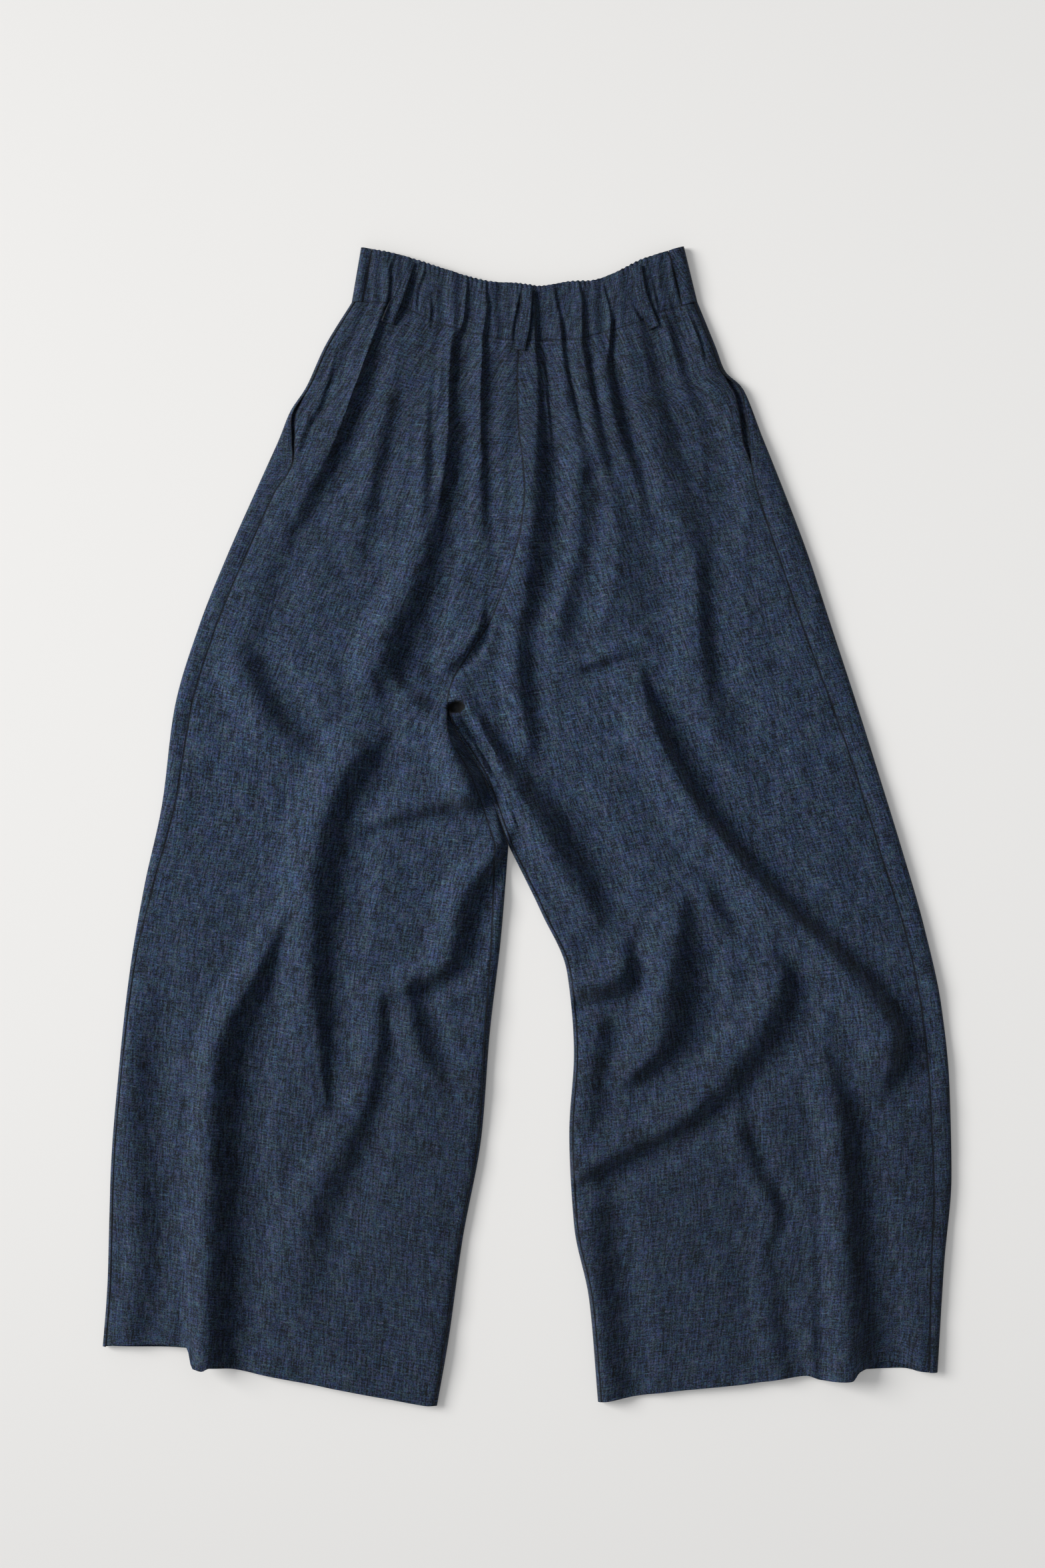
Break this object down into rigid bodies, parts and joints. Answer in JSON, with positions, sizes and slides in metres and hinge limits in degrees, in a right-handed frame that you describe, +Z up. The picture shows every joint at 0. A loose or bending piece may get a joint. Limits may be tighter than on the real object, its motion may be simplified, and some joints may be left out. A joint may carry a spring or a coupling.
{
  "type": "wide-leg trousers, laid flat",
  "caption": "Wide-leg pull-on trousers of slubby indigo linen, laid flat with the back up: gathered elastic waist, belt loops, side pockets and loose crumpled legs.",
  "frame": {"origin": "middle of the bounding box, on the surface the trousers lie on", "axes": "+Y from the hems to the waist, +X to the wearer's right leg, +Z up off the surface, the back of the trousers facing +Z"},
  "size_m": [0.7632, 1.0428, 0.0242],
  "materials": {
    "linen_back": "matte",
    "linen_front": "matte",
    "linen_band": "matte",
    "linen_loop": "matte",
    "linen_facing": "matte"
  },
  "bodies": {
    "root": {"back_panel_left": "linen_back", "back_panel_right": "linen_back", "front_panel_left": "linen_front", "front_panel_right": "linen_front", "waistband_back": "linen_band", "waistband_front": "linen_band", "belt_loop_left": "linen_loop", "belt_loop_center": "linen_loop", "belt_loop_right": "linen_loop", "pocket_facing_left": "linen_facing", "pocket_facing_right": "linen_facing"}
  },
  "joints": []
}
